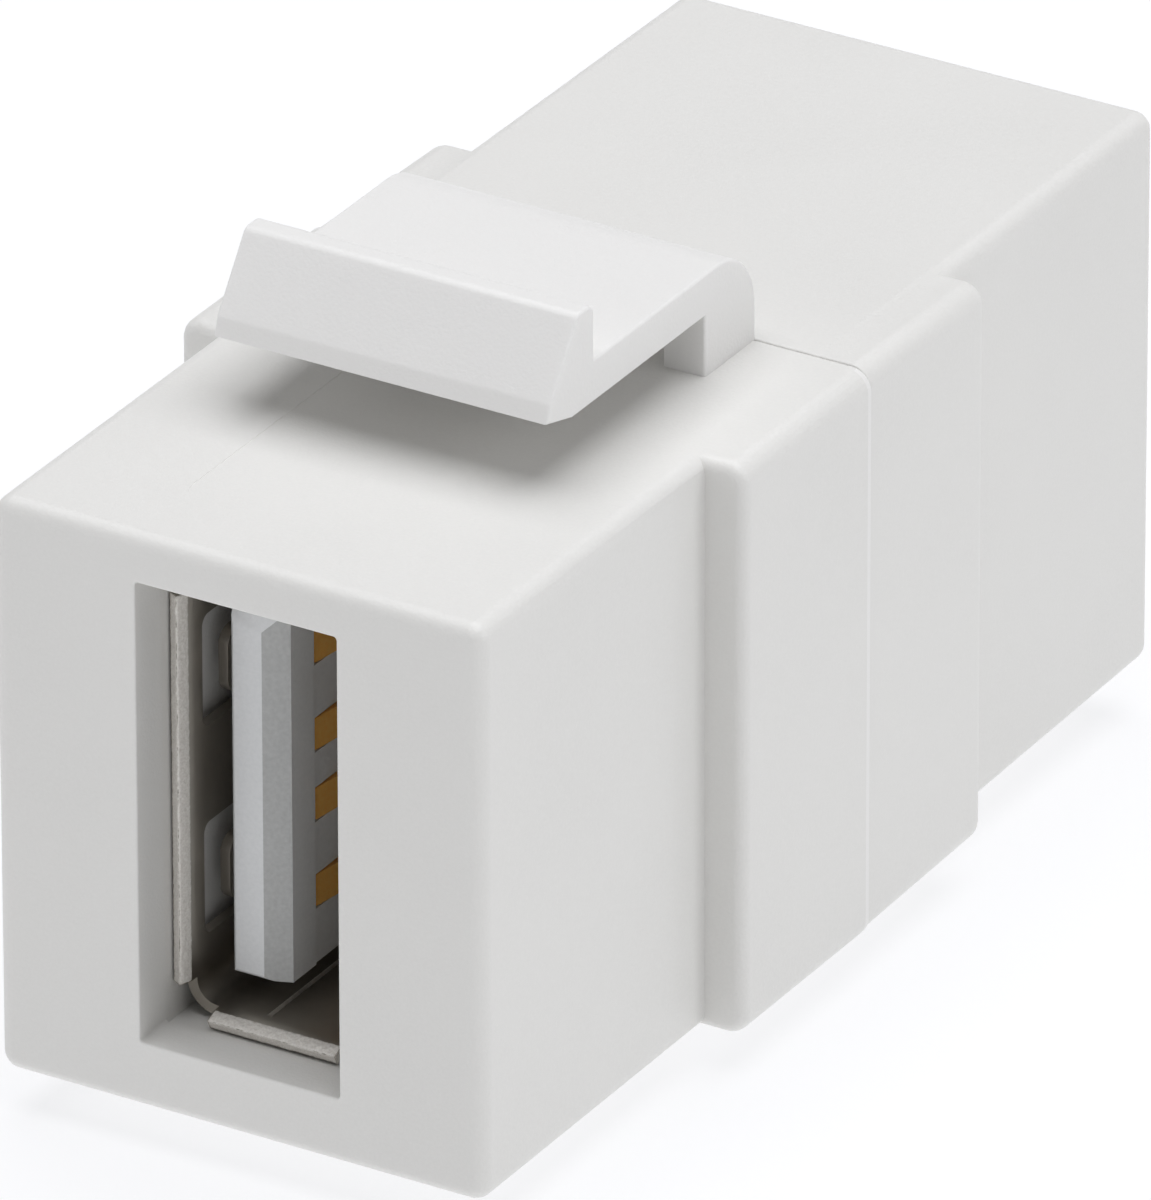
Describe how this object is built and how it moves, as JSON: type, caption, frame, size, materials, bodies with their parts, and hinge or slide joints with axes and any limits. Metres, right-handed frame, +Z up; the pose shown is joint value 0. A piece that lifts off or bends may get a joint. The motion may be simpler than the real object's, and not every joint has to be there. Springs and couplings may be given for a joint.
{
  "type": "usb keystone jack",
  "caption": "Female-to-female plug coupler in a square two-part housing with side shoulders and a sprung latch, for a keystone panel opening.",
  "frame": {"origin": "under the middle of the part's box, at the height of the lowest point, the fixed catch", "axes": "+Z up out of the top face that carries the latch, +Y from the front port towards the rear port, +X to the right seen from the front"},
  "size_m": [0.0168, 0.0344, 0.0222],
  "materials": {
    "white_abs": "fine moulded satin",
    "plated_steel": "tin-plated sheet with raw cut edges",
    "grey_pbt": "moulded satin",
    "glass_epoxy": "satin solder resist",
    "solder": "bright",
    "gilt_bronze": "gold-plated strip"
  },
  "bodies": {
    "housing": {"front_housing": "white_abs", "rear_housing": "white_abs", "front_port_shell": "plated_steel", "rear_port_shell": "plated_steel", "front_insulator": "grey_pbt", "rear_insulator": "grey_pbt", "circuit_board": "glass_epoxy", "front_pin_solder": "solder", "rear_pin_solder": "solder", "tab_solder": "solder", "front_contact_1": "gilt_bronze", "front_contact_2": "gilt_bronze", "front_contact_3": "gilt_bronze", "front_contact_4": "gilt_bronze", "rear_contact_1": "gilt_bronze", "rear_contact_2": "gilt_bronze", "rear_contact_3": "gilt_bronze", "rear_contact_4": "gilt_bronze"},
    "latch_arm": {"latch": "white_abs"}
  },
  "joints": [
    {"name": "latch_press", "type": "hinge", "parent": "housing", "child": "latch_arm", "pos_m": [0, -0.00227, 0.01999], "axis": [1, 0, 0], "range_deg": [0, 14], "stiffness_Nm_per_rad": 0.1}
  ]
}
